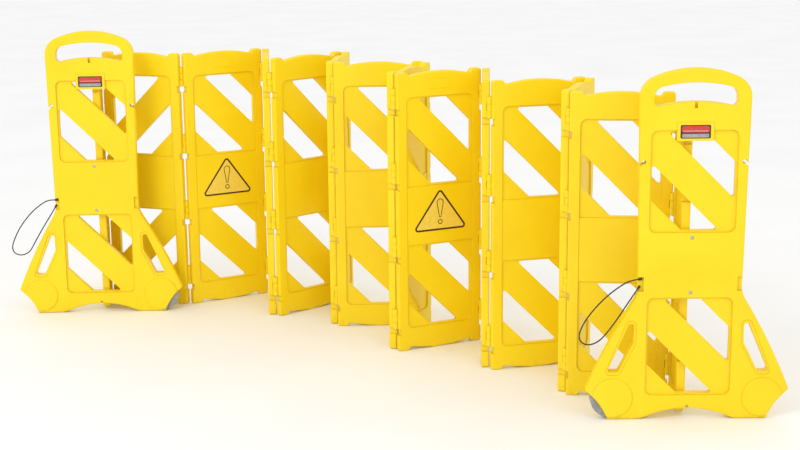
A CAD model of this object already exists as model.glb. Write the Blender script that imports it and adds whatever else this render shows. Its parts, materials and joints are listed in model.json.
"""Looks of the folding crowd control barrier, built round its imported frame. Metres, +Z up."""
import json
import math

import bpy
from mathutils import Matrix, Vector


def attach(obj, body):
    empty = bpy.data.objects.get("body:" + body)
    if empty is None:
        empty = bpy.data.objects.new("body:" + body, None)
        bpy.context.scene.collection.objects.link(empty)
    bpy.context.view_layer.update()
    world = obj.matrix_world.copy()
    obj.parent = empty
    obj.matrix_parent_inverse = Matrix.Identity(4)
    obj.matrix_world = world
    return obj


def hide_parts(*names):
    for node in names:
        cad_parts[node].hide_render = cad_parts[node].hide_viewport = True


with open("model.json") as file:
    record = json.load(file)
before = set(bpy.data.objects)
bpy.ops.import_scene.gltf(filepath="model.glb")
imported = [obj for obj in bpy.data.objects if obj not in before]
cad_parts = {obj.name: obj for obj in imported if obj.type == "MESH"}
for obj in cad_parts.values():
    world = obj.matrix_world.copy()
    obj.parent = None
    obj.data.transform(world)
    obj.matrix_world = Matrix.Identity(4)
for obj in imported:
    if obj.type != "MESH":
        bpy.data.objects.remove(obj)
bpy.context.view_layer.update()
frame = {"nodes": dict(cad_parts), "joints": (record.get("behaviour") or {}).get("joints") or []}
nodes = frame["nodes"]
joint_places = {joint["name"]: Vector(joint["pos_m"]) for joint in frame["joints"]}

# ---- sizes shared with the frame ----
FACE_GAP = 0.0005
END_THICK = 0.032
PANEL_THICK = 0.0254
PANEL_PITCH = 0.3048
END_HEIGHT = 1.016
PLATE_PROUD = 0.002
PLATE_RECESS = 0.0015
FILM = 0.0005  # thickness of the labels and of the warning signs
INK = 0.00015  # printed areas stand this far proud of their film
LABEL_Z = END_HEIGHT - 0.176
RED_BAND = (0.078, 0.0185, 0.007)  # width, height and corner radius of each printed band
THIN_LINE = (0.070, 0.0012, 0.0005)
GREY_BAND = (0.074, 0.0105, 0.0015)
RED_BAND_RISE = 0.0072  # heights of the bands' middles above the label's middle
THIN_LINE_RISE = 0.0022
GREY_BAND_RISE = -0.0112
SIGN_BASE_Z = 0.397
SIGN_WIDE = 0.205
SIGN_TALL = 0.143
RIM_OUTER = (0.0006, 0.0104)  # inset from the sign's edge and corner radius
RIM_INNER = (0.0066, 0.0046)
BAR_LOW_Z = SIGN_BASE_Z + 0.047
BAR_HIGH_Z = SIGN_BASE_Z + 0.094
BAR_OUTER = (0.0042, 0.0125)  # radii at the low and the high end
BAR_INNER = (0.0018, 0.0099)
DOT_Z = SIGN_BASE_Z + 0.029
DOT_RADII = (0.0085, 0.0057)
CORD_D = 0.004
FERRULE_INSET = 0.0043
END_FRONT_Y = -FACE_GAP - END_THICK
SQUARE = ((-1, -1), (1, -1), (1, 1), (-1, 1))  # the signs of a square's corners, in order

# where each decorated piece stands: the hinge on its own frame's origin, and its heading in degrees
END_PANELS = {"left": ("left_end_hinge", 2), "right": ("right_end_hinge", 0)}
MARKED_PANELS = {"panel_02": ("fold_hinge_02", 29), "panel_08": ("fold_hinge_08", 25)}

# ---- camera ----
CAMERA_AT = Vector((0.1461, -4.9757, 1.5537))
CAMERA_YAW = -0.174
CAMERA_PITCH = -12.853
CAMERA_ROLL = -0.565
CAMERA_LENS = 70.0
SENSOR_WIDTH = 36.0
VIEW_END = 200.0

# ---- floor and light: place, target, disk size and power of each lamp ----
FLOOR_HALF = 30.0
SKY_STRENGTH = 0.98
KEY = ((-2.6, -4.2, 4.0), (0, 0, 0.4), 2.2, 72)
FILL = ((3.4, -4.4, 2.2), (0, 0, 0.5), 3.0, 14)

# ---- cord routes: across the end panel, in front of its face, height ----
LEFT_CORD = [
    (-0.148, -FERRULE_INSET, 0.417),
    (-0.170, -FERRULE_INSET, 0.418),
    (-0.197, 0.004, 0.404),
    (-0.226, 0.008, 0.381),
    (-0.256, 0.010, 0.348),
    (-0.281, 0.011, 0.312),
    (-0.300, 0.011, 0.273),
    (-0.308, 0.010, 0.246),
    (-0.299, 0.009, 0.225),
    (-0.274, 0.008, 0.218),
    (-0.246, 0.007, 0.230),
    (-0.228, 0.006, 0.262),
    (-0.208, 0.005, 0.296),
    (-0.187, 0.004, 0.330),
    (-0.166, -FERRULE_INSET, 0.362),
    (-0.149, -FERRULE_INSET, 0.390),
]
RIGHT_CORD = [
    (-0.148, -FERRULE_INSET, 0.417),
    (-0.172, -FERRULE_INSET, 0.414),
    (-0.204, 0.004, 0.397),
    (-0.238, 0.007, 0.371),
    (-0.270, 0.009, 0.338),
    (-0.296, 0.010, 0.304),
    (-0.311, 0.010, 0.274),
    (-0.316, 0.010, 0.250),
    (-0.303, 0.009, 0.231),
    (-0.279, 0.008, 0.228),
    (-0.253, 0.007, 0.242),
    (-0.232, 0.006, 0.267),
    (-0.212, 0.005, 0.295),
    (-0.193, 0.004, 0.324),
    (-0.171, -FERRULE_INSET, 0.355),
    (-0.149, -FERRULE_INSET, 0.389),
]
CORDS = {"left": (LEFT_CORD, 0.513), "right": (RIGHT_CORD, 0.505)}


# ---------------------------------------------------------------- camera, floor and light
def turned(yaw, pitch, roll):
    """Rotation of the camera: yaw to the right, pitch up and roll, in degrees."""
    heading = Matrix.Rotation(math.radians(-yaw), 4, "Z")
    spin = heading @ Matrix.Rotation(math.radians(90 + pitch), 4, "X")
    return spin @ Matrix.Rotation(math.radians(roll), 4, "Z")


def make_camera():
    camera = bpy.data.objects.new("camera", bpy.data.cameras.new("camera"))
    camera.data.lens = CAMERA_LENS
    camera.data.sensor_width = SENSOR_WIDTH
    camera.data.clip_end = VIEW_END
    rotation = turned(CAMERA_YAW, CAMERA_PITCH, CAMERA_ROLL)
    camera.matrix_world = Matrix.Translation(CAMERA_AT) @ rotation
    bpy.context.scene.collection.objects.link(camera)
    bpy.context.scene.camera = camera


def make_floor():
    mesh = bpy.data.meshes.new("floor")
    corners = [(s * FLOOR_HALF, t * FLOOR_HALF, 0) for s, t in SQUARE]
    mesh.from_pydata(corners, [], [(0, 1, 2, 3)])
    floor = bpy.data.objects.new("floor", mesh)
    bpy.context.scene.collection.objects.link(floor)
    material, tree, shader = new_material("floor_paint")
    paint = noise(tree, 2.0, 3.0)
    link(tree, ramp(tree, paint, (0.93, 0.93, 0.93), (0.96, 0.96, 0.96)), shader, "Base Color")
    shader.inputs["Roughness"].default_value = 0.7
    mesh.materials.append(material)


def area_light(name, place, aim, size, power):
    lamp = bpy.data.lights.new(name, "AREA")
    lamp.shape = "DISK"
    lamp.size = size
    lamp.energy = power
    light = bpy.data.objects.new(name, lamp)
    light.location = place
    light.rotation_mode = "QUATERNION"
    light.rotation_quaternion = (Vector(aim) - Vector(place)).to_track_quat("-Z", "Y")
    bpy.context.scene.collection.objects.link(light)


def make_lights():
    world = bpy.data.worlds.new("studio")
    world.use_nodes = True
    sky = world.node_tree.nodes["Background"]
    sky.inputs["Color"].default_value = (1, 1, 1, 1)
    sky.inputs["Strength"].default_value = SKY_STRENGTH
    bpy.context.scene.world = world
    area_light("key", *KEY)
    area_light("fill", *FILL)
    bpy.context.scene.view_settings.view_transform = "Standard"


# ---------------------------------------------------------------- material helpers
def new_material(name):
    material = bpy.data.materials.new(name)
    material.use_nodes = True
    tree = material.node_tree
    return material, tree, tree.nodes["Principled BSDF"]


def link(tree, socket, node, name):
    tree.links.new(socket, node.inputs[name])


def coordinates(tree):
    """The piece's own coordinates, which travel with it."""
    for node in tree.nodes:
        if node.type == "TEX_COORD":
            return node.outputs["Object"]
    return tree.nodes.new("ShaderNodeTexCoord").outputs["Object"]


def noise(tree, scale, detail=2.0, distortion=0.0, stretch=None):
    """Noise with that many grains a metre, squeezed along each axis by stretch."""
    texture = tree.nodes.new("ShaderNodeTexNoise")
    texture.inputs["Scale"].default_value = scale
    texture.inputs["Detail"].default_value = detail
    texture.inputs["Distortion"].default_value = distortion
    socket = coordinates(tree)
    if stretch:
        mapping = tree.nodes.new("ShaderNodeMapping")
        mapping.inputs["Scale"].default_value = stretch
        tree.links.new(socket, mapping.inputs["Vector"])
        socket = mapping.outputs["Vector"]
    tree.links.new(socket, texture.inputs["Vector"])
    return texture.outputs["Fac"]


def ramp(tree, socket, low, high, start=0.35, stop=0.65):
    """A colour that goes from low to high as the value goes from start to stop."""
    node = tree.nodes.new("ShaderNodeValToRGB")
    node.color_ramp.elements[0].position = start
    node.color_ramp.elements[0].color = (*low, 1)
    node.color_ramp.elements[1].position = stop
    node.color_ramp.elements[1].color = (*high, 1)
    tree.links.new(socket, node.inputs["Fac"])
    return node.outputs["Color"]


def spread(tree, socket, low, high, start=0.3, stop=0.7):
    """A number that goes from low to high as the value goes from start to stop."""
    node = tree.nodes.new("ShaderNodeMapRange")
    node.inputs["From Min"].default_value = start
    node.inputs["From Max"].default_value = stop
    node.inputs["To Min"].default_value = low
    node.inputs["To Max"].default_value = high
    tree.links.new(socket, node.inputs["Value"])
    return node.outputs["Result"]


def times(tree, first, second):
    node = tree.nodes.new("ShaderNodeMath")
    node.operation = "MULTIPLY"
    tree.links.new(first, node.inputs[0])
    tree.links.new(second, node.inputs[1])
    return node.outputs["Value"]


def mix(tree, factor, first, second):
    """first where the factor is 0, second where it is 1; second is a socket or a colour."""
    node = tree.nodes.new("ShaderNodeMix")
    node.data_type = "RGBA"
    tree.links.new(factor, node.inputs["Factor"])
    tree.links.new(first, node.inputs[6])
    if isinstance(second, tuple):
        node.inputs[7].default_value = (*second, 1)
    else:
        tree.links.new(second, node.inputs[7])
    return node.outputs[2]


def bump(tree, shader, height, depth, strength=1.0):
    """Adds a layer of relief, depth metres deep, to whatever relief the shader has."""
    node = tree.nodes.new("ShaderNodeBump")
    node.inputs["Distance"].default_value = depth
    node.inputs["Strength"].default_value = strength
    tree.links.new(height, node.inputs["Height"])
    below = shader.inputs["Normal"].links
    if below:
        tree.links.new(below[0].from_socket, node.inputs["Normal"])
    tree.links.new(node.outputs["Normal"], shader.inputs["Normal"])


def soft_edges(tree, shader, radius):
    """Rounds the look of sharp edges."""
    node = tree.nodes.new("ShaderNodeBevel")
    node.samples = 4
    node.inputs["Radius"].default_value = radius
    tree.links.new(node.outputs["Normal"], shader.inputs["Normal"])


def crevice(tree, reach):
    """0 in the open, towards 1 in corners narrower than reach."""
    node = tree.nodes.new("ShaderNodeAmbientOcclusion")
    node.samples = 4
    node.inputs["Distance"].default_value = reach
    return spread(tree, node.outputs["AO"], 1.0, 0.0, 0.25, 0.9)


def height_mask(tree, full, none):
    """1 below the height full, 0 above the height none."""
    parts = tree.nodes.new("ShaderNodeSeparateXYZ")
    tree.links.new(coordinates(tree), parts.inputs["Vector"])
    return spread(tree, parts.outputs["Z"], 1.0, 0.0, full, none)


# ---------------------------------------------------------------- materials
def yellow_plastic():
    """Satin blow-moulded polyethylene: cloudy colour, orange-peel skin, rubbed feet."""
    material, tree, shader = new_material("yellow_plastic")
    shader.inputs["Specular IOR Level"].default_value = 0.35
    soft_edges(tree, shader, 0.0025)
    clouds = noise(tree, 3.5, 4.0, 0.6)
    colour = ramp(tree, clouds, (0.90, 0.65, 0.004), (0.95, 0.705, 0.008))
    streaks = noise(tree, 9.0, 3.0, 0.4, (1.0, 1.0, 0.25))
    colour = mix(tree, spread(tree, streaks, 0.0, 0.25, 0.5, 0.75), colour, (0.95, 0.71, 0.02))
    grime = times(tree, crevice(tree, 0.012), spread(tree, noise(tree, 26.0, 4.0), 0.04, 0.32))
    colour = mix(tree, grime, colour, (0.5, 0.26, 0.008))
    low = height_mask(tree, 0.0, 0.035)
    rubbed = times(tree, low, spread(tree, noise(tree, 60.0, 5.0), 0.0, 0.22, 0.45, 0.7))
    colour = mix(tree, rubbed, colour, (0.42, 0.28, 0.05))
    scratches = noise(tree, 120.0, 2.0, 0.0, (1.0, 1.0, 0.08))
    scuffs = spread(tree, scratches, 0.0, 0.08, 0.66, 0.76)
    colour = mix(tree, scuffs, colour, (0.98, 0.84, 0.2))
    link(tree, colour, shader, "Base Color")
    link(tree, spread(tree, noise(tree, 18.0, 5.0), 0.36, 0.52), shader, "Roughness")
    bump(tree, shader, noise(tree, 10.0, 2.0), 0.0012, 0.4)
    bump(tree, shader, noise(tree, 420.0, 2.0), 0.00022, 0.35)
    return material


def grey_rubber():
    """Grey non-marking rubber, cloudy with dust and darker in its corners."""
    material, tree, shader = new_material("grey_rubber")
    soft_edges(tree, shader, 0.001)
    dust = noise(tree, 45.0, 5.0, 0.5)
    colour = ramp(tree, dust, (0.24, 0.24, 0.255), (0.36, 0.36, 0.375))
    colour = mix(tree, times(tree, crevice(tree, 0.01), dust), colour, (0.06, 0.055, 0.05))
    link(tree, colour, shader, "Base Color")
    link(tree, spread(tree, noise(tree, 150.0, 3.0), 0.6, 0.85), shader, "Roughness")
    bump(tree, shader, noise(tree, 700.0, 3.0), 0.0003, 0.5)
    return material


def dark_plastic(name, low, high):
    """Dark moulded plastic for the hubs and the cord ends."""
    material, tree, shader = new_material(name)
    link(tree, ramp(tree, noise(tree, 60.0, 4.0), low, high), shader, "Base Color")
    link(tree, spread(tree, noise(tree, 90.0, 3.0), 0.4, 0.65), shader, "Roughness")
    bump(tree, shader, noise(tree, 900.0, 2.0), 0.0001, 0.4)
    return material


def plated_steel():
    """Zinc plate with faint turning marks and dull spots."""
    material, tree, shader = new_material("plated_steel")
    shader.inputs["Metallic"].default_value = 1.0
    spangle = noise(tree, 220.0, 3.0, 1.2)
    link(tree, ramp(tree, spangle, (0.5, 0.5, 0.5), (0.66, 0.665, 0.67)), shader, "Base Color")
    link(tree, spread(tree, noise(tree, 80.0, 4.0), 0.24, 0.48), shader, "Roughness")
    bump(tree, shader, noise(tree, 500.0, 2.0, 0.0, (1.0, 1.0, 12.0)), 0.00005, 0.4)
    return material


def printed_film(name, low, high, roughness):
    """Printed plastic film: nearly even ink over a slightly uneven, glossy skin."""
    material, tree, shader = new_material(name)
    link(tree, ramp(tree, noise(tree, 120.0, 4.0), low, high), shader, "Base Color")
    gloss = noise(tree, 50.0, 4.0)
    link(tree, spread(tree, gloss, roughness - 0.08, roughness + 0.08), shader, "Roughness")
    bump(tree, shader, noise(tree, 300.0, 2.0), 0.00006, 0.5)
    return material


def braided_cord():
    """Stiff black cord with a fine woven cover."""
    material, tree, shader = new_material("braided_cord")
    weave = tree.nodes.new("ShaderNodeTexVoronoi")
    weave.inputs["Scale"].default_value = 1300.0
    tree.links.new(coordinates(tree), weave.inputs["Vector"])
    fibres = weave.outputs["Distance"]
    colour = ramp(tree, fibres, (0.03, 0.026, 0.024), (0.008, 0.007, 0.006), 0.1, 0.7)
    link(tree, colour, shader, "Base Color")
    link(tree, spread(tree, noise(tree, 300.0, 3.0), 0.42, 0.66), shader, "Roughness")
    bump(tree, shader, fibres, 0.0003, 0.6)
    return material


# ---------------------------------------------------------------- flat printed pieces
def rounded(corners, radius, steps=6):
    """A closed outline with its corners rounded."""
    outline = []
    count = len(corners)
    for k in range(count):
        before, here, after = (Vector(corners[(k + step) % count]) for step in (-1, 0, 1))
        back = (before - here).normalized()
        on = (after - here).normalized()
        half = back.angle(on) / 2
        centre = here + (back + on).normalized() * (radius / math.sin(half))
        start = here + back * (radius / math.tan(half)) - centre
        stop = here + on * (radius / math.tan(half)) - centre
        for step in range(steps + 1):
            share = step / steps
            spoke = (start * (1 - share) + stop * share).normalized() * radius
            outline.append(centre + spoke)
    return outline


def rectangle(width, height, radius, centre):
    x, z = centre
    corners = [(x + s * width / 2, z + t * height / 2) for s, t in SQUARE]
    return rounded(corners, radius)


def triangle(inset, radius):
    """The sign's outline drawn inset metres inside its edge, with rounded corners."""
    slope = math.hypot(SIGN_WIDE / 2, SIGN_TALL)
    inner_radius = SIGN_WIDE * SIGN_TALL / (SIGN_WIDE + 2 * slope)
    share = 1 - inset / inner_radius
    base = SIGN_BASE_Z + inset
    half = share * SIGN_WIDE / 2
    return rounded([(-half, base), (half, base), (0, base + share * SIGN_TALL)], radius)


def circle(radius, centre, steps=24):
    turns = [2 * math.pi * k / steps for k in range(steps)]
    return [(centre[0] + radius * math.cos(a), centre[1] + radius * math.sin(a)) for a in turns]


def drop(low, high, low_radius, high_radius, steps=12):
    """An upright drop: a small round end at the height low, a large one at the height high."""
    lean = math.asin((high_radius - low_radius) / (high - low))
    outline = []
    ends = (
        (high, high_radius, -lean, math.pi + lean),
        (low, low_radius, math.pi + lean, 2 * math.pi - lean),
    )
    for z, radius, start, stop in ends:
        for step in range(steps + 1):
            turn = start + (stop - start) * step / steps
            outline.append((radius * math.cos(turn), z + radius * math.sin(turn)))
    return outline


def stand_at(joint, heading):
    """The frame of a chain piece: its left hinge line and the way that its width points."""
    place = joint_places[joint].copy()
    place.z = 0.0
    return Matrix.Translation(place) @ Matrix.Rotation(math.radians(heading), 4, "Z")


def printed(name, loops, spot, x, y, material, body):
    """A thin raised area whose loops are its outline and its holes, facing the front at x and y."""
    curve = bpy.data.curves.new(name, "CURVE")
    curve.dimensions = "2D"
    curve.fill_mode = "BOTH"
    curve.extrude = INK
    for loop in loops:
        spline = curve.splines.new("POLY")
        spline.points.add(len(loop) - 1)
        for point, (px, pz) in zip(spline.points, loop):
            point.co = (px, pz, 0, 1)
        spline.use_cyclic_u = True
    drawn = bpy.data.objects.new(name + "_drawing", curve)
    bpy.context.scene.collection.objects.link(drawn)
    bpy.context.view_layer.update()
    depsgraph = bpy.context.evaluated_depsgraph_get()
    mesh = bpy.data.meshes.new_from_object(drawn.evaluated_get(depsgraph))
    bpy.data.objects.remove(drawn)
    piece = bpy.data.objects.new(name, mesh)
    piece.data.name = name
    upright = Matrix.Rotation(math.radians(90), 4, "X")
    piece.matrix_world = spot @ Matrix.Translation((x, y, 0)) @ upright
    bpy.context.scene.collection.objects.link(piece)
    mesh.materials.clear()
    mesh.materials.append(material)
    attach(piece, body)
    return piece


def make_label(hand, inks):
    """Blank two-band label: a red band over a grey one, on a dark ground."""
    joint, heading = END_PANELS[hand]
    spot = stand_at(joint, heading)
    body = f"{hand}_end_panel"
    y = END_FRONT_Y - PLATE_PROUD - FILM
    red = [rectangle(*RED_BAND, (0, LABEL_Z + RED_BAND_RISE))]
    line = [rectangle(*THIN_LINE, (0, LABEL_Z + THIN_LINE_RISE))]
    grey = [rectangle(*GREY_BAND, (0, LABEL_Z + GREY_BAND_RISE))]
    printed(f"{hand}_label_red", red, spot, 0, y, inks["red"], body)
    printed(f"{hand}_label_line", line, spot, 0, y - INK, inks["cream"], body)
    printed(f"{hand}_label_grey", grey, spot, 0, y, inks["grey"], body)


def make_sign(panel, inks):
    """Generic triangle outline round an outlined drop and dot."""
    joint, heading = MARKED_PANELS[panel]
    spot = stand_at(joint, heading)
    y = -FACE_GAP - PANEL_THICK + PLATE_RECESS - FILM
    middle = PANEL_PITCH / 2
    rim = [triangle(*RIM_OUTER), triangle(*RIM_INNER)]
    bar = [drop(BAR_LOW_Z, BAR_HIGH_Z, *radii) for radii in (BAR_OUTER, BAR_INNER)]
    dot = [circle(radius, (0, DOT_Z)) for radius in DOT_RADII]
    printed(f"{panel}_sign_rim", rim, spot, middle, y, inks["brown"], panel)
    printed(f"{panel}_sign_bar", bar, spot, middle, y, inks["brown"], panel)
    printed(f"{panel}_sign_dot", dot, spot, middle, y, inks["brown"], panel)


# ---------------------------------------------------------------- cords
def make_cord(hand, material):
    """A round cord loop on one smooth spline, from ferrule to ferrule."""
    route, length = CORDS[hand]
    joint, heading = END_PANELS[hand]
    spot = stand_at(joint, heading)
    points = [spot @ Vector((across, END_FRONT_Y - out, height)) for across, out, height in route]
    name = f"{hand}_cord"
    curve = bpy.data.curves.new(name, "CURVE")
    curve.dimensions = "3D"
    curve.bevel_depth = CORD_D / 2
    curve.bevel_resolution = 4
    curve.resolution_u = 16
    curve.use_fill_caps = True
    spline = curve.splines.new("NURBS")
    spline.points.add(len(points) - 1)
    for control, point in zip(spline.points, points):
        control.co = (*point, 1)
    spline.order_u = 3
    spline.use_endpoint_u = True
    curve.materials.append(material)
    cord = bpy.data.objects.new(name, curve)
    bpy.context.scene.collection.objects.link(cord)
    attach(cord, f"{hand}_end_panel")
    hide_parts(f"{hand}_cord_loop")


# ---------------------------------------------------------------- the whole object
def dress_frame(materials):
    """Gives every carried-over node its material."""
    endings = (
        ("_tyre", "rubber"),
        ("_hub", "hub"),
        ("_axle", "steel"),
        ("_washer", "steel"),
        ("_screws", "steel"),
        ("_ferrules", "ferrule"),
        ("_end_label", "label_ground"),
        ("_sign", "sign_ground"),
    )
    for name, node in nodes.items():
        chosen = "steel" if name.startswith("hinge_pins") else "yellow"
        for ending, kind in endings:
            if name.endswith(ending):
                chosen = kind
        node.data.materials.clear()
        node.data.materials.append(materials[chosen])


materials = {
    "yellow": yellow_plastic(),
    "rubber": grey_rubber(),
    "hub": dark_plastic("hub_plastic", (0.035, 0.033, 0.03), (0.075, 0.07, 0.065)),
    "ferrule": dark_plastic("ferrule_plastic", (0.012, 0.011, 0.01), (0.03, 0.028, 0.026)),
    "steel": plated_steel(),
    "label_ground": printed_film("label_ground", (0.035, 0.018, 0.015), (0.06, 0.03, 0.025), 0.35),
    "sign_ground": printed_film("sign_ground", (0.84, 0.61, 0.08), (0.90, 0.67, 0.10), 0.4),
}
inks = {
    "red": printed_film("red_ink", (0.56, 0.035, 0.035), (0.66, 0.055, 0.05), 0.3),
    "grey": printed_film("grey_ink", (0.30, 0.29, 0.28), (0.40, 0.39, 0.38), 0.35),
    "cream": printed_film("cream_ink", (0.72, 0.60, 0.45), (0.80, 0.68, 0.52), 0.35),
    "brown": printed_film("brown_ink", (0.035, 0.012, 0.006), (0.06, 0.022, 0.01), 0.35),
}
cord_cover = braided_cord()

make_camera()
make_floor()
make_lights()
dress_frame(materials)
for hand in END_PANELS:
    make_cord(hand, cord_cover)
    make_label(hand, inks)
for panel in MARKED_PANELS:
    make_sign(panel, inks)
